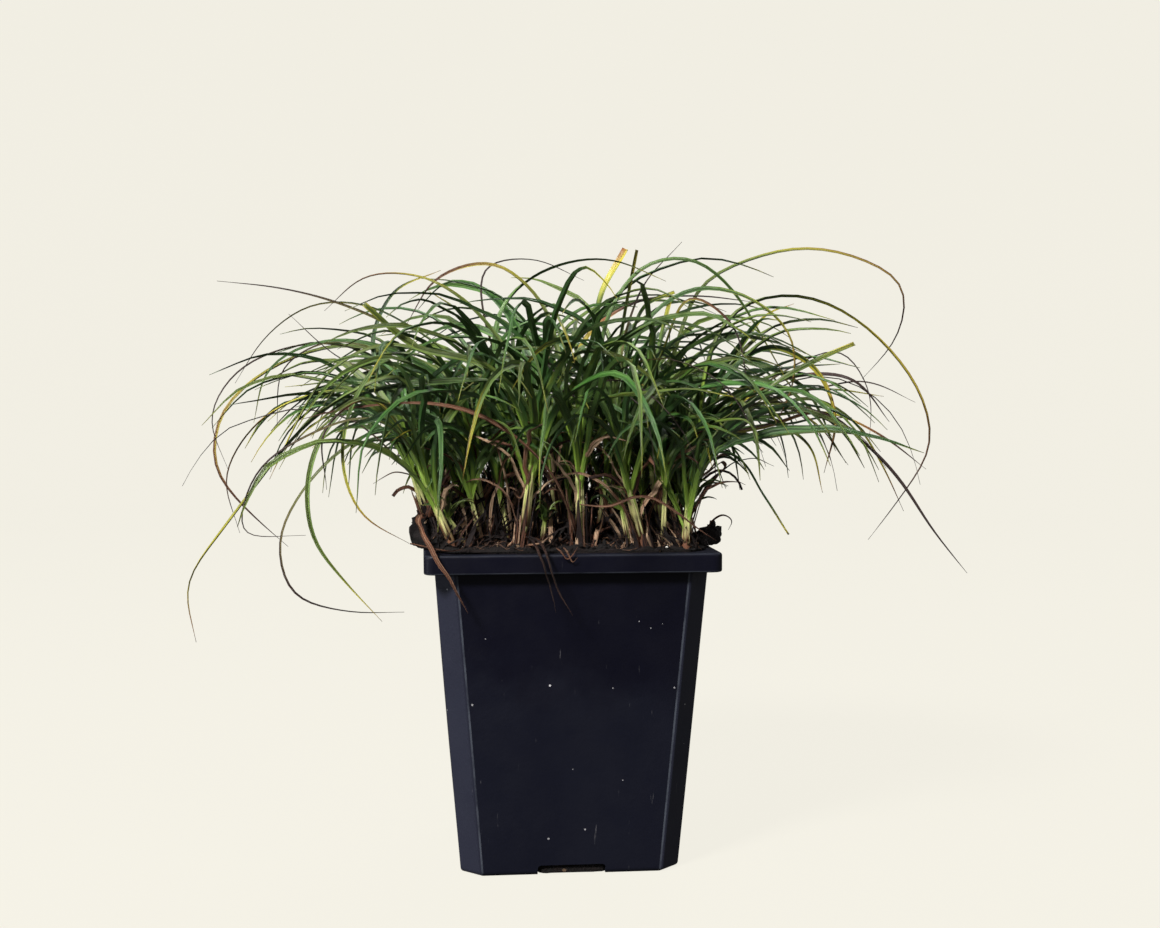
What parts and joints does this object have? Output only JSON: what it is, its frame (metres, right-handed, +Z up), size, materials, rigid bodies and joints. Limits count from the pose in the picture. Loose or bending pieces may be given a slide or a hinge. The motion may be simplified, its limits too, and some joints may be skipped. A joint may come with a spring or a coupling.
{
  "type": "potted sedge",
  "caption": "Tufted evergreen sedge with narrow arching green leaves, rooted in dark potting soil in a black square nursery pot.",
  "frame": {"origin": "centre of the pot's underside, on the flat face it stands on", "axes": "+Z up, +X to the right and -Y towards the front; the pot's walls face X and Y"},
  "size_m": [0.2442, 0.2248, 0.1974],
  "materials": {
    "pot_plastic": "satin black moulded polypropylene with a slight blue sheen",
    "soil": "moist peat with fibres and a few white grains",
    "leaf": "waxy green blades, semi-gloss, with a grooved midrib",
    "sheath": "dry brown papery sheaths and dead leaves"
  },
  "bodies": {
    "root": {"pot": "pot_plastic", "soil": "soil", "shoot_01": "leaf", "shoot_02": "leaf", "shoot_03": "leaf", "shoot_04": "leaf", "shoot_05": "leaf", "shoot_06": "leaf", "shoot_07": "leaf", "shoot_08": "leaf", "shoot_09": "leaf", "shoot_10": "leaf", "shoot_11": "leaf", "shoot_12": "leaf", "shoot_13": "leaf", "shoot_14": "leaf", "shoot_15": "leaf", "shoot_16": "leaf", "shoot_17": "leaf", "shoot_18": "leaf", "shoot_19": "leaf", "shoot_20": "leaf", "sheath_01": "sheath", "sheath_03": "sheath", "sheath_05": "sheath", "sheath_06": "sheath", "sheath_07": "sheath", "sheath_08": "sheath", "sheath_09": "sheath", "sheath_12": "sheath", "sheath_13": "sheath", "sheath_14": "sheath", "sheath_16": "sheath", "sheath_17": "sheath", "sheath_19": "sheath", "sheath_20": "sheath"}
  },
  "joints": []
}
